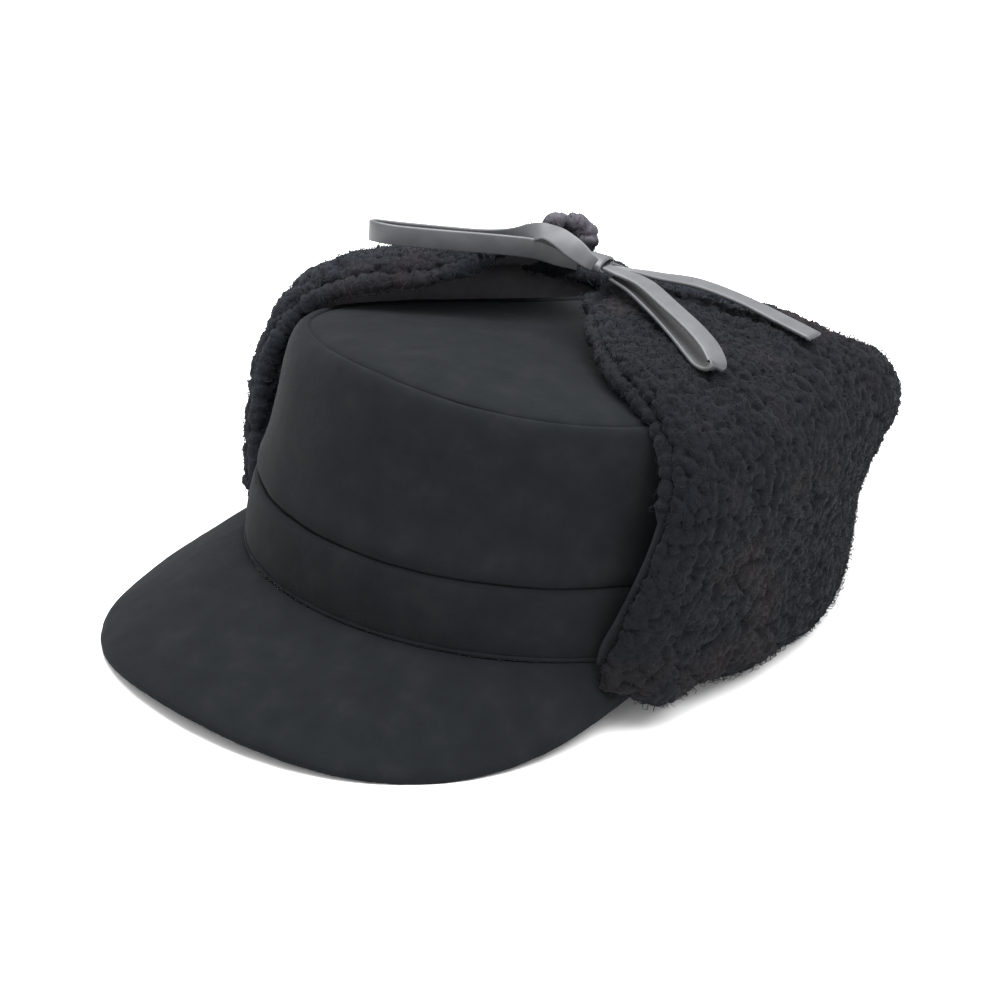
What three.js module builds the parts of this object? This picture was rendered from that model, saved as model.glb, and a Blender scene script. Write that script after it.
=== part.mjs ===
// Wool earflap cap with its fleece flaps folded up and tied over the crown, in millimetres, +Z up.
// The peak points along -Y, the wearer's left is +X, and the cap rests on the floor at z = 0.
import * as THREE from 'three';

// Head ring: the outer face of the band, a slightly egg-shaped ring that is fuller at the forehead.
const HALF_WIDTH = 83.4;
const HALF_LENGTH = 105.2;
const FOREHEAD_FULLNESS = 0.112;
const CLOTH = 2.0;
const GAP = 0.45;

// Band, raised towards the front because the peak props the cap up.
const BAND_LOW_AT_SIDE = 16.1;
const BAND_SLOPE = -0.08;
const BAND_REAR_EASE = 0.62;
const BAND_HEIGHT = 21.3;
const BAND_INSET_AT_TOP = 2.5;
const BAND_CLOTH = 2.2;

// Crown wall, which is tucked down behind the band, and the domed top sewn a little inside its lip.
const CROWN_HALF_WIDTH = 74;
const CROWN_HALF_LENGTH = 84;
const CROWN_FULLNESS = 0.15;
const CROWN_TUCK = 4;
const WALL_FOOT_INSET = 3.9;
const WALL_GROOVE = 1.6;
const LIP_INSET = 1.6;
const LIP_DEPTH = 2.2;
const SEAM_DIP = 1.0;
const TOP_DOME = 2.6;

// Peak: half its angle on the head ring, and how far it reaches, widens, falls and arches.
const PEAK_CORNER = 76;
const PEAK_INSET = 1.2;
const PEAK_LENGTH = 52.2;
const PEAK_SQUARENESS = 3.1;
const PEAK_FLARE = 0.25;
const PEAK_DROP = 17.6;
const PEAK_ARCH = 7.7;
const PEAK_THICKNESS = 3.8;

// Folded-up flap: a wool sheet inside and a fleece layer outside, thinner at its edges and tied tips.
const FLAP_CLOTH = 1.5;
const FLEECE = 6.8;
const FLEECE_EDGE = 1.6;
const FLEECE_EDGE_STEPS = 2.2;
const TIP_THINNING = 0.65;

// Leather lace.
const LACE_WIDTH = 6.8;
const LACE_THICKNESS = 1.5;
const KNOT_AT = [4, 10.5, 112];
const KNOT_RADII = [5, 4.2, 3.2];

const ROUND_STEPS = 48;
const BLACK_WOOL = { color: 0x17191b, roughness: 0.95, metalness: 0 };
const BLACK_FLEECE = { color: 0x141316, roughness: 1.0, metalness: 0 };
const GREY_LEATHER = { color: 0x3b3d42, roughness: 0.45, metalness: 0 };

const cap = new THREE.Group();
const pieces = new THREE.Group();
cap.add(pieces);

function addPiece(name, geometry, look) {
  const mesh = new THREE.Mesh(geometry, new THREE.MeshStandardMaterial(look));
  mesh.name = name;
  pieces.add(mesh);
}

// A point on the head ring, moved out by offset; angle 0 is the forehead and +90 the wearer's left.
function headRing(degrees, offset = 0) {
  const angle = THREE.MathUtils.degToRad(degrees);
  const full = 1 + FOREHEAD_FULLNESS * Math.cos(angle);
  return [(HALF_WIDTH + offset) * Math.sin(angle) * full, -(HALF_LENGTH + offset) * Math.cos(angle)];
}

// Lower edge of the band: it falls evenly to the temples and more gently behind them.
function bandLow(y) {
  const ease = y > 0 ? 1 - (BAND_REAR_EASE * y) / HALF_LENGTH : 1;
  return BAND_LOW_AT_SIDE + BAND_SLOPE * y * ease;
}

// Smooth value at a position of a short table of [position, value] rows.
function smoothValue(table, position) {
  const last = table.length - 1;
  const beyond = table.findIndex((row) => row[0] > position);
  const i = THREE.MathUtils.clamp((beyond < 0 ? last : beyond) - 1, 0, last - 1);
  const slope = (k) => {
    const [before, after] = [table[Math.max(k - 1, 0)], table[Math.min(k + 1, last)]];
    return (after[1] - before[1]) / (after[0] - before[0]);
  };
  const width = table[i + 1][0] - table[i][0];
  const t = THREE.MathUtils.clamp((position - table[i][0]) / width, 0, 1);
  const rise = t * t * (3 - 2 * t);
  const leave = t * (1 - t) ** 2 * width * slope(i);
  const arrive = t * t * (t - 1) * width * slope(i + 1);
  return THREE.MathUtils.lerp(table[i][1], table[i + 1][1], rise) + leave + arrive;
}

// Height of the crown's upper seam round the head: high forehead, sunken far side and rear.
const SEAM_HEIGHT = [
  [-180, 78], [-150, 73], [-120, 71], [-90, 76], [-60, 85], [-30, 93], [0, 97],
  [30, 95], [60, 91.5], [90, 88], [120, 84], [150, 80], [180, 78],
];

function seamPoint(degrees, inset = 0) {
  const angle = THREE.MathUtils.degToRad(degrees);
  const full = 1 + CROWN_FULLNESS * Math.cos(angle);
  const x = (CROWN_HALF_WIDTH - inset) * Math.sin(angle) * full;
  return [x, -(CROWN_HALF_LENGTH - inset) * Math.cos(angle), smoothValue(SEAM_HEIGHT, degrees)];
}

function geometryOf(vertices, faces) {
  const geometry = new THREE.BufferGeometry();
  geometry.setAttribute('position', new THREE.Float32BufferAttribute(vertices.flat(), 3));
  geometry.setIndex(faces.flat());
  geometry.computeVertexNormals();
  return geometry;
}

function roundDegrees(step) {
  return -180 + (360 * step) / ROUND_STEPS;
}

// A closed section carried round the head: section(degrees) gives its corners, outer side upwards.
function ringBody(section) {
  const vertices = [];
  const faces = [];
  const corners = section(0).length;
  for (let i = 0; i < ROUND_STEPS; i += 1) {
    vertices.push(...section(roundDegrees(i)));
    const next = (i + 1) % ROUND_STEPS;
    for (let k = 0; k < corners; k += 1) {
      const [a, b] = [i * corners + k, next * corners + k];
      const [c, d] = [i * corners + ((k + 1) % corners), next * corners + ((k + 1) % corners)];
      faces.push([a, b, d], [a, d, c]);
    }
  }
  return geometryOf(vertices, faces);
}

// A sheet between two grids of points, grid[i][j], closed along its four edges.
function sheetBody(outer, inner) {
  const rows = outer.length;
  const columns = outer[0].length;
  const half = rows * columns;
  const vertices = [...outer.flat(), ...inner.flat()];
  const faces = [];
  const at = (i, j) => i * columns + j;
  for (let i = 0; i < rows - 1; i += 1) {
    for (let j = 0; j < columns - 1; j += 1) {
      const [a, b, c, d] = [at(i, j), at(i + 1, j), at(i + 1, j + 1), at(i, j + 1)];
      faces.push([a, b, c], [a, c, d]);
      faces.push([a + half, c + half, b + half], [a + half, d + half, c + half]);
    }
  }
  const rim = [];
  for (let i = 0; i < rows - 1; i += 1) rim.push([at(i, 0), at(i + 1, 0)]);
  for (let j = 0; j < columns - 1; j += 1) rim.push([at(rows - 1, j), at(rows - 1, j + 1)]);
  for (let i = rows - 1; i > 0; i -= 1) rim.push([at(i, columns - 1), at(i - 1, columns - 1)]);
  for (let j = columns - 1; j > 0; j -= 1) rim.push([at(0, j), at(0, j - 1)]);
  for (const [a, b] of rim) faces.push([a, b + half, b], [a, a + half, b + half]);
  return geometryOf(vertices, faces);
}

// Band section: offset from the head ring and share of the band's height, up the face and down inside.
const BAND_SECTION = [
  { offset: -0.8, share: 0 },
  { offset: 0, share: 0.06 },
  { offset: -0.5, share: 0.5 },
  { offset: -BAND_INSET_AT_TOP + 0.3, share: 0.93 },
  { offset: -BAND_INSET_AT_TOP - 0.6, share: 1 },
  { offset: -BAND_INSET_AT_TOP - BAND_CLOTH, share: 0.98 },
  { offset: -BAND_CLOTH, share: 0.02 },
];

function bandSection(degrees) {
  const low = bandLow(headRing(degrees)[1]);
  return BAND_SECTION.map(({ offset, share }) => [...headRing(degrees, offset), low + BAND_HEIGHT * share]);
}

// Crown wall: bulge of the cloth over a straight slope, by share of the wall's height.
const WALL_BULGE = [
  [0, 0], [0.05, 1.3], [0.11, 1.9], [0.2, 1.1], [0.3, 0.8],
  [0.45, 1.3], [0.62, 1.9], [0.8, 2.3], [0.93, 1.8], [1, 0],
];
const WALL_OUTSIDE = [0.05, 0.11, 0.2, 0.3, 0.45, 0.62, 0.8, 0.93, 0.985];
const WALL_INSIDE = [0.95, 0.6, 0.3, 0.08];

function wallPoint(degrees, share, inward = 0) {
  const [baseX, baseY] = headRing(degrees, -WALL_FOOT_INSET);
  const [topX, topY, topZ] = seamPoint(degrees);
  const baseZ = bandLow(baseY) + BAND_HEIGHT;
  const x = THREE.MathUtils.lerp(baseX, topX, share);
  const y = THREE.MathUtils.lerp(baseY, topY, share);
  const out = (smoothValue(WALL_BULGE, share) - inward) / Math.hypot(x, y);
  return [x * (1 + out), y * (1 + out), THREE.MathUtils.lerp(baseZ, topZ, share)];
}

function tuckPoint(degrees, inward) {
  const [x, y] = headRing(degrees, -BAND_INSET_AT_TOP - BAND_CLOTH - GAP - inward);
  return [x, y, bandLow(y) + BAND_HEIGHT - CROWN_TUCK];
}

function crownSection(degrees) {
  const [lipX, lipY, lipZ] = seamPoint(degrees, LIP_INSET);
  return [
    tuckPoint(degrees, 0),
    wallPoint(degrees, 0, WALL_GROOVE),
    ...WALL_OUTSIDE.map((share) => wallPoint(degrees, share)),
    [lipX, lipY, lipZ],
    [lipX, lipY, lipZ - LIP_DEPTH],
    ...WALL_INSIDE.map((share) => wallPoint(degrees, share, CLOTH)),
    tuckPoint(degrees, CLOTH),
  ];
}

// Crown top: radius 0 is its middle and 1 its edge, which dips into the seam.
const TOP_RADII = [0.3, 0.65, 0.93, 1];

function topPoint(degrees, radius, down) {
  const [x, y, edge] = seamPoint(degrees, LIP_INSET + GAP);
  const opposite = smoothValue(SEAM_HEIGHT, degrees > 0 ? degrees - 180 : degrees + 180);
  const frontToBack = (smoothValue(SEAM_HEIGHT, 0) + smoothValue(SEAM_HEIGHT, 180)) / 2;
  const middle = (edge + opposite) / 2;
  const level = THREE.MathUtils.lerp(frontToBack, middle, radius) + (edge - middle) * radius;
  const z = level + TOP_DOME * (1 - radius ** 4) - SEAM_DIP * radius ** 24;
  return [x * radius, y * radius, z - down];
}

function crownTop() {
  const vertices = [topPoint(0, 0, 0), topPoint(0, 0, CLOTH)];
  const faces = [];
  const outermost = TOP_RADII.length - 1;
  const at = (side, ring, i) => 2 + (side * TOP_RADII.length + ring) * ROUND_STEPS + (i % ROUND_STEPS);
  for (const down of [0, CLOTH]) {
    for (const radius of TOP_RADII) {
      for (let i = 0; i < ROUND_STEPS; i += 1) vertices.push(topPoint(roundDegrees(i), radius, down));
    }
  }
  const addQuad = (a, b, c, d) => faces.push([a, b, c], [a, c, d]);
  for (let i = 0; i < ROUND_STEPS; i += 1) {
    faces.push([0, at(0, 0, i), at(0, 0, i + 1)], [1, at(1, 0, i + 1), at(1, 0, i)]);
    for (let ring = 0; ring < outermost; ring += 1) {
      addQuad(at(0, ring, i), at(0, ring + 1, i), at(0, ring + 1, i + 1), at(0, ring, i + 1));
      addQuad(at(1, ring, i), at(1, ring, i + 1), at(1, ring + 1, i + 1), at(1, ring + 1, i));
    }
    addQuad(at(0, outermost, i), at(1, outermost, i), at(1, outermost, i + 1), at(0, outermost, i + 1));
  }
  return geometryOf(vertices, faces);
}

// Peak: across runs from -1 to 1 between the corners, and out from 0 at the band to 1 at the edge.
const PEAK_STEPS = 36;
const PEAK_ACROSS_LIMIT = 0.975;
const PEAK_ROWS = [
  { out: 0, top: 0, bottom: 1 },
  { out: 0.2, top: 0, bottom: 1 },
  { out: 0.5, top: 0, bottom: 1 },
  { out: 0.8, top: 0, bottom: 1 },
  { out: 0.96, top: 0, bottom: 1 },
  { out: 1, top: 0.25, bottom: 0.75 },
];

function peakPoint(across, out, depth) {
  const [baseX, baseY] = headRing(across * PEAK_CORNER, -PEAK_INSET);
  const reach = 1 - Math.abs(across) ** PEAK_SQUARENESS;
  const flare = PEAK_FLARE * (1 - Math.abs(across) ** 12);
  const x = baseX * (1 + flare * reach * out);
  const arch = PEAK_ARCH * (x / HALF_WIDTH) ** 2;
  const z = bandLow(baseY) - GAP - (PEAK_DROP + arch) * reach * out ** 1.08;
  return [x, baseY - PEAK_LENGTH * reach * out, z - PEAK_THICKNESS * depth];
}

function peak() {
  const lines = Array.from({ length: PEAK_STEPS + 1 }, (_, i) => (
    PEAK_ACROSS_LIMIT * Math.sin((i / PEAK_STEPS - 0.5) * Math.PI)
  ));
  const upper = lines.map((across) => PEAK_ROWS.map(({ out, top }) => peakPoint(across, out, top)));
  const lower = lines.map((across) => PEAK_ROWS.map(({ out, bottom }) => peakPoint(across, out, bottom)));
  return sheetBody(lower, upper);
}

// Flap columns from its front edge round to the middle of the back. Angles and offsets belong to the
// head ring; fold is the height of the fold's inside, tuck how far it turns in under the band, and
// low, middle, high and shoulder are [offset, height] up the wall. over, tongue and end are points.
const FLAP_COLUMNS = [
  { from: 57, to: 69, fold: 22.6, tuck: 0, low: [4.3, 30], middle: [7.4, 45], high: [7.4, 66],
    shoulder: [-1.2, 86.5], over: [61, -33, 96.5], tongue: [34, -20, 98.5], end: [9, 1, 103.5] },
  { from: 64, to: 73, fold: 22, tuck: 0, low: [4.8, 29.5], middle: [7.4, 45], high: [7.8, 66],
    shoulder: [0.5, 87], over: [63, -26, 96.5], tongue: [36, -14, 98], end: [9, 3, 104] },
  { from: 71, to: 79, fold: 18, tuck: 0, low: [4.2, 27], middle: [6.8, 45], high: [7.6, 66],
    shoulder: [2, 86], over: [66, -18, 95.7], tongue: [38, -8, 97.5], end: [9, 5.5, 104.5] },
  { from: 88, to: 91, fold: 8.6, tuck: 5, low: [2.8, 25], middle: [4.8, 45], high: [6.4, 65],
    shoulder: [3, 85], over: [68, 5, 94.8], tongue: [41, 7, 97.5], end: [9.5, 10, 105] },
  { from: 110, to: 109, fold: 6.7, tuck: 5.5, low: [3.1, 23], middle: [5, 45], high: [7.4, 64],
    shoulder: [5, 82], over: [66, 36, 93], tongue: [42, 28, 97.5], end: [12, 17, 105.5] },
  { from: 119, to: 118, fold: 6.1, tuck: 5.5, low: [3.1, 23], middle: [5, 45], high: [8.4, 62],
    shoulder: [8.5, 76], over: [70.5, 53, 87], tongue: [54, 48, 92.5], end: [34, 38, 98.5] },
  { from: 128, to: 127, fold: 6.1, tuck: 5.5, low: [3.1, 23], middle: [5, 45], high: [10.2, 60],
    shoulder: [15, 71], over: [71, 71.5, 79], tongue: [66, 67, 84], end: [58, 60.5, 88] },
  { from: 150, to: 150, fold: 6.1, tuck: 5.5, low: [3.1, 23], middle: [5, 40], high: [7.2, 51],
    shoulder: [8.8, 59], over: [41.3, 98.6, 64], tongue: [39.8, 97, 67.5], end: [37.5, 94.5, 70.5] },
  { from: 180, to: 180, fold: 6.1, tuck: 5.5, low: [3.1, 23], middle: [4.6, 38], high: [6.4, 48],
    shoulder: [7.2, 54], over: [0, 112, 59.5], tongue: [0, 110.5, 63.5], end: [0, 108, 66.5] },
];

// The far flap sits a little lower and its tip stands up behind the knot, showing its wool side.
const FAR_SINK = 4;
const FAR_TOP = [
  { over: [-60, -33, 95], tongue: [-36, -18, 101.5], end: [-19, 3, 116] },
  { over: [-63, -26, 94.5], tongue: [-38, -12, 101.5], end: [-17.5, 5, 119.5] },
  { over: [-66, -18, 93], tongue: [-40, -6, 101], end: [-15, 7.5, 121.5] },
  { over: [-68, 5, 89.5], tongue: [-42, 8, 99.5], end: [-10.5, 12, 121] },
  { over: [-66, 36, 84], tongue: [-44, 28, 93], end: [-5.5, 16, 116.5] },
  { over: [-70, 53, 80], tongue: [-54, 48, 85], end: [-34, 38, 90] },
  { over: [-70, 70, 73], tongue: [-65, 66, 77], end: [-58, 60.5, 79] },
];

// Heights between which a column turns from its lower angle to its upper one.
const TURN_LOW = 24;
const TURN_HIGH = 84;
const FOOT_INSET = 0.5;

function mirrored([x, y, z]) {
  return [-x, y, z - FAR_SINK];
}

// A column's path up the flap; side is 1 on the near flap and -1 on the far one.
function columnCurve(column, side) {
  const { from, to, fold, tuck, low, middle, high, shoulder, over, tongue, end } = column;
  const foot = low[0] - FOOT_INSET;
  const shoulderHeight = shoulder[1] - (side < 0 ? FAR_SINK : 0);
  const onWall = [
    [foot - 1.3 * tuck, fold - 2 + 0.5 * tuck],
    [foot - 0.6 * tuck, fold],
    [foot, fold + 4.5],
    low,
    middle,
    high,
    [shoulder[0], shoulderHeight],
  ].map(([offset, z]) => {
    const turn = THREE.MathUtils.clamp((z - TURN_LOW) / (TURN_HIGH - TURN_LOW), 0, 1);
    const [x, y] = headRing(THREE.MathUtils.lerp(from, to, turn), offset);
    return [side * x, y, z];
  });
  const points = [...onWall, over, tongue, end].map((point) => new THREE.Vector3(...point));
  return new THREE.CatmullRomCurve3(points, false, 'centripetal');
}

const BACK = FLAP_COLUMNS.length - 1;
const FAR_COLUMNS = FLAP_COLUMNS.slice(0, BACK).map((column, i) => ({
  ...column,
  ...(FAR_TOP[i] ?? {
    over: mirrored(column.over), tongue: mirrored(column.tongue), end: mirrored(column.end),
  }),
}));
const FLAP_CURVES = [
  ...FLAP_COLUMNS.map((column) => columnCurve(column, 1)),
  ...FAR_COLUMNS.reverse().map((column) => columnCurve(column, -1)),
];
const TIP_COLUMNS = 4 / (FLAP_CURVES.length - 1);

function evenly(from, to, steps) {
  return Array.from({ length: steps + 1 }, (_, i) => THREE.MathUtils.lerp(from, to, i / steps));
}

// Shares round the flap, from near front edge to far front edge, and up it, from fold to end. The
// first and last share round and the last one up are the edge of the wool that the fleece leaves bare.
const BARE_ROUND = 0.011;
const BARE_RISE = 0.018;
const ROUNDS = [0, ...evenly(BARE_ROUND, 1 - BARE_ROUND, 42), 1];
const RISES = [...evenly(0, 1 - BARE_RISE, 17), 1];

// Outside face of the flap's wool.
function flapGrid() {
  const rows = RISES.map((rise) => {
    const points = FLAP_CURVES.map((curve) => curve.getPoint(rise));
    const along = new THREE.CatmullRomCurve3(points, false, 'centripetal');
    return ROUNDS.map((round) => along.getPoint(round));
  });
  return ROUNDS.map((_, i) => rows.map((row) => row[i]));
}

// Unit normals of a grid of points, pointing away from the head.
function gridNormals(grid) {
  return grid.map((line, i) => line.map((_, j) => {
    const before = grid[Math.max(i - 1, 0)][j];
    const after = grid[Math.min(i + 1, grid.length - 1)][j];
    const under = line[Math.max(j - 1, 0)];
    const above = line[Math.min(j + 1, line.length - 1)];
    const round = new THREE.Vector3().subVectors(after, before);
    const rise = new THREE.Vector3().subVectors(above, under);
    return new THREE.Vector3().crossVectors(round, rise).normalize();
  }));
}

const FLAP_GRID = flapGrid();
const FLAP_NORMALS = gridNormals(FLAP_GRID);

function shifted(distance) {
  return FLAP_GRID.map((line, i) => line.map((point, j) => (
    point.clone().addScaledVector(FLAP_NORMALS[i][j], distance(i, j)).toArray()
  )));
}

function flapShell() {
  return sheetBody(shifted(() => 0), shifted(() => -FLAP_CLOTH));
}

// Depth of the fleece at a grid point, with i counted round the flap and j up it from the fold.
function fleeceDepth(i, j) {
  const fromSides = Math.min(i, ROUNDS.length - 1 - i) - 0.75;
  const fromEnds = Math.min(j + 0.85, RISES.length - 1.75 - j);
  const inside = THREE.MathUtils.clamp(Math.min(fromSides, fromEnds) / FLEECE_EDGE_STEPS, 0, 1);
  const aside = Math.min(ROUNDS[i], 1 - ROUNDS[i]);
  const inTip = 1 - THREE.MathUtils.smoothstep(aside, TIP_COLUMNS, TIP_COLUMNS * 1.5);
  const thinning = 1 - TIP_THINNING * inTip * THREE.MathUtils.smoothstep(RISES[j], 0.78, 1);
  return GAP + THREE.MathUtils.lerp(FLEECE_EDGE, FLEECE, Math.sqrt(inside)) * thinning;
}

function flapFleece() {
  const withoutBareEdge = (grid) => grid.slice(1, -1).map((line) => line.slice(0, -1));
  return sheetBody(withoutBareEdge(shifted(fleeceDepth)), withoutBareEdge(shifted(() => GAP)));
}

// A flat lace along hand-placed points, each with the direction and size of its width.
function lace(rows) {
  const curveOf = (name) => {
    const points = rows.map((row) => new THREE.Vector3(...row[name]));
    return new THREE.CatmullRomCurve3(points, false, 'centripetal');
  };
  const path = curveOf('at');
  const turns = curveOf('wide');
  const widths = rows.map((row, i) => [i / (rows.length - 1), row.width ?? LACE_WIDTH]);
  const steps = (rows.length - 1) * 3;
  const vertices = [];
  const faces = [];
  for (let i = 0; i <= steps; i += 1) {
    const share = i / steps;
    const centre = path.getPoint(share);
    const tangent = path.getTangent(share);
    const wide = turns.getPoint(share);
    wide.addScaledVector(tangent, -wide.dot(tangent)).normalize();
    const thick = new THREE.Vector3().crossVectors(tangent, wide).multiplyScalar(LACE_THICKNESS / 2);
    wide.multiplyScalar(smoothValue(widths, share) / 2);
    for (const [w, t] of [[1, 1], [-1, 1], [-1, -1], [1, -1]]) {
      vertices.push(centre.clone().addScaledVector(wide, w).addScaledVector(thick, t).toArray());
    }
  }
  for (let i = 0; i < steps; i += 1) {
    for (let k = 0; k < 4; k += 1) {
      const [a, b] = [i * 4 + k, i * 4 + ((k + 1) % 4)];
      faces.push([a, b, b + 4], [a, b + 4, a + 4]);
    }
  }
  const last = steps * 4;
  faces.push([0, 2, 1], [0, 3, 2], [last, last + 1, last + 2], [last, last + 2, last + 3]);
  return geometryOf(vertices, faces);
}

// Front loop: it stands on edge, and its back strand turns flat over the far flap's tip.
const FRONT_LOOP = [
  { at: [-1.4, 6.6, 112], wide: [0, 0, 1], width: 3.6 },
  { at: [-14, -4, 113.3], wide: [0, 0, 1], width: 6.2 },
  { at: [-28, -14, 114.4], wide: [0, 0, 1] },
  { at: [-41, -25, 115.5], wide: [0, 0, 1] },
  { at: [-49.5, -34, 116.3], wide: [0, 0, 1] },
  { at: [-53.3, -36.2, 116.6], wide: [0, 0, 1] },
  { at: [-51.8, -31.6, 116.9], wide: [0, 0, 1] },
  { at: [-42, -20.5, 116.9], wide: [0, 0, 1] },
  { at: [-31.5, -9, 116.8], wide: [-0.1, 0.12, 1] },
  { at: [-19, -1, 118], wide: [-0.35, 0.43, 0.83] },
  { at: [-8.5, 3.5, 118.3], wide: [-0.6, 0.75, 0.25] },
  { at: [-0.2, 8.8, 116.2], wide: [-0.63, 0.77, 0], width: 5 },
];

// Side loop: both strands tilt towards the wearer's left front and lie over the near flap.
const SIDE_TILT = [0.15, 0.88, 0.45];
const SIDE_LOOP = [
  { at: [10.4, 10.2, 112.4], wide: SIDE_TILT, width: 4 },
  { at: [22, 11, 112.2], wide: SIDE_TILT, width: 6.2 },
  { at: [35, 8.4, 111], wide: SIDE_TILT },
  { at: [47, 5, 109.5], wide: SIDE_TILT },
  { at: [59, 1, 107.8], wide: SIDE_TILT },
  { at: [70.4, -6.4, 107.9], wide: SIDE_TILT },
  { at: [74, -10.4, 106.5], wide: SIDE_TILT },
  { at: [70.8, -11, 105.4], wide: SIDE_TILT },
  { at: [59.4, -8.4, 106.4], wide: SIDE_TILT },
  { at: [45.7, -2.4, 106.9], wide: SIDE_TILT },
  { at: [29, 6, 108.2], wide: SIDE_TILT, width: 6 },
  { at: [15, 9.6, 109.4], wide: SIDE_TILT, width: 4 },
];

const LONG_TAIL = [
  { at: [8.6, 15.4, 110.6], wide: [0.61, -0.68, 0.4], width: 4.6 },
  { at: [21.5, 20, 110], wide: [0.61, -0.68, 0.4], width: 6.4 },
  { at: [32, 29, 106.8], wide: [0.61, -0.7, 0.25] },
  { at: [50.5, 37.3, 103.6], wide: [0.62, -0.76, 0.05] },
  { at: [65.5, 39.3, 102], wide: [0.5, -0.85, -0.06] },
  { at: [71.6, 41.3, 101], wide: [0.5, -0.85, -0.08] },
];

const SHORT_TAIL = [
  { at: [2.6, 16.2, 109.8], wide: [1, 0, 0.1], width: 4.6 },
  { at: [2, 24, 105.6], wide: [1, 0, 0.1] },
  { at: [0, 33, 99], wide: [1, 0, 0.1] },
  { at: [-2, 40, 92], wide: [1, 0, 0.1] },
];

function knot() {
  return new THREE.IcosahedronGeometry(1, 2).scale(...KNOT_RADII).rotateZ(Math.PI / 5).translate(...KNOT_AT);
}

addPiece('band', ringBody(bandSection), BLACK_WOOL);
addPiece('crown_side', ringBody(crownSection), BLACK_WOOL);
addPiece('crown_top', crownTop(), BLACK_WOOL);
addPiece('peak', peak(), BLACK_WOOL);
addPiece('flap_shell', flapShell(), BLACK_WOOL);
addPiece('flap_fleece', flapFleece(), BLACK_FLEECE);
addPiece('lace_knot', knot(), GREY_LEATHER);
addPiece('lace_loop_front', lace(FRONT_LOOP), GREY_LEATHER);
addPiece('lace_loop_side', lace(SIDE_LOOP), GREY_LEATHER);
addPiece('lace_tail_long', lace(LONG_TAIL), GREY_LEATHER);
addPiece('lace_tail_short', lace(SHORT_TAIL), GREY_LEATHER);

// The origin is the middle of the cap's bounding box, on the floor.
const box = new THREE.Box3().setFromObject(pieces);
const middle = box.getCenter(new THREE.Vector3());
pieces.position.set(-middle.x, -middle.y, -box.min.z);

export default cap;
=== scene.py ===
import math
import random

import bmesh
import bpy
import numpy as np
from mathutils import Matrix, Vector, noise
from mathutils.bvhtree import BVHTree
from mathutils.kdtree import KDTree


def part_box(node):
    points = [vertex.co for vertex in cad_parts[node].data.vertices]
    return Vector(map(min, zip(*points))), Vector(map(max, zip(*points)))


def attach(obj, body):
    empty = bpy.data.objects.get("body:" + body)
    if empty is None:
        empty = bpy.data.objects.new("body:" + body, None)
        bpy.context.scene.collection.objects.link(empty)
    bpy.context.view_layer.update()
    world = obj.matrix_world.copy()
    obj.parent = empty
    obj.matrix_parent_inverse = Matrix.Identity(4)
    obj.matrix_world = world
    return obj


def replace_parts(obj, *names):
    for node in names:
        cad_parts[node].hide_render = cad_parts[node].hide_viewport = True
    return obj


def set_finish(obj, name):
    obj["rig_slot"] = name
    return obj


MM = 0.001

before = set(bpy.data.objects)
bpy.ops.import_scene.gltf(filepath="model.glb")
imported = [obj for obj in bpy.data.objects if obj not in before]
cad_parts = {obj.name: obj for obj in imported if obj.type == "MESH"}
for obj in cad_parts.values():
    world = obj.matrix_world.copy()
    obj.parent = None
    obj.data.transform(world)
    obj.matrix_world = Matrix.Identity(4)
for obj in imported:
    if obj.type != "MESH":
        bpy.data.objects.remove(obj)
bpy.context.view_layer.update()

# Camera at the photograph's angle, aimed at the middle of its picture.
CAMERA_AIM = Vector((-4.1, -0.8, 34.7)) * MM
CAMERA_AZIMUTH = 42.83
CAMERA_ELEVATION = 25.07
CAMERA_ROLL = 3.81
CAMERA_DISTANCE = 1.2004
CAMERA_LENS = 134.4

# Smooth copies of the frame's nodes.
WELD = 0.002 * MM
JOIN_ANGLE = math.radians(50)

# Head ring, band edge and crown seam, as they are drawn in the part, in millimetres and degrees.
HALF_WIDTH = 83.4
HALF_LENGTH = 105.2
FOREHEAD_FULLNESS = 0.112
BAND_LOW_AT_SIDE = 16.1
BAND_SLOPE = -0.08
BAND_REAR_EASE = 0.62
CROWN_HALF_WIDTH = 74
CROWN_HALF_LENGTH = 84
CROWN_FULLNESS = 0.15
SEAM_HEIGHT = [78, 73, 71, 76, 85, 93, 97, 95, 91.5, 88, 84, 80, 78]
PEAK_CORNER = 76

# Dents and small unevenness of the wool: depth, wavelength and where in the noise each starts.
DENT_WAVE = 24 * MM
DENT_SEED = 3.0
NAP_DEPTH = 0.12 * MM
NAP_WAVE = 5 * MM
NAP_SEED = 7.0

# The peak's far front corner reaches a little further out than it is drawn in the part.
PEAK_TIP = Vector((-58, -138, 0))
PEAK_TIP_WIDTH = 42
PEAK_TIP_PUSH = Vector((-1.7, -1.5, 0))

# The top's cloth stands up behind its seam on the forehead and near side, most over the near eyebrow.
SEAM_STEP = 0.7
BROW_STEP = 0.6
BROW_ANGLE = 17
BROW_REACH = 24
STEP_WIDTH = 1.8
STEP_RETURN = 26
STEP_INSET = 2
NEAR_ANGLE = 30

# Thin rolls of wool that fill the seams: radius, and where each lies from its seam, in millimetres.
WELT_STEPS = 240
WELT_SIDES = 10
WELT_DENT = 0.15 * MM
WELT_WAVE = 9 * MM
WELT_SEED = 9.0
SEAM_WELT = 1.2
SEAM_WELT_INSET = 1.85
SEAM_WELT_DEPTH = 0.6
SEAM_WELT_NEAR_DEPTH = 1.15
BAND_WELT = 1.0
BAND_WELT_INSET = 4.3
BAND_WELT_HEIGHT = 21
PEAK_WELT = 0.8
PEAK_WELT_INSET = 1
PEAK_WELT_DEPTH = 0.2

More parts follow.
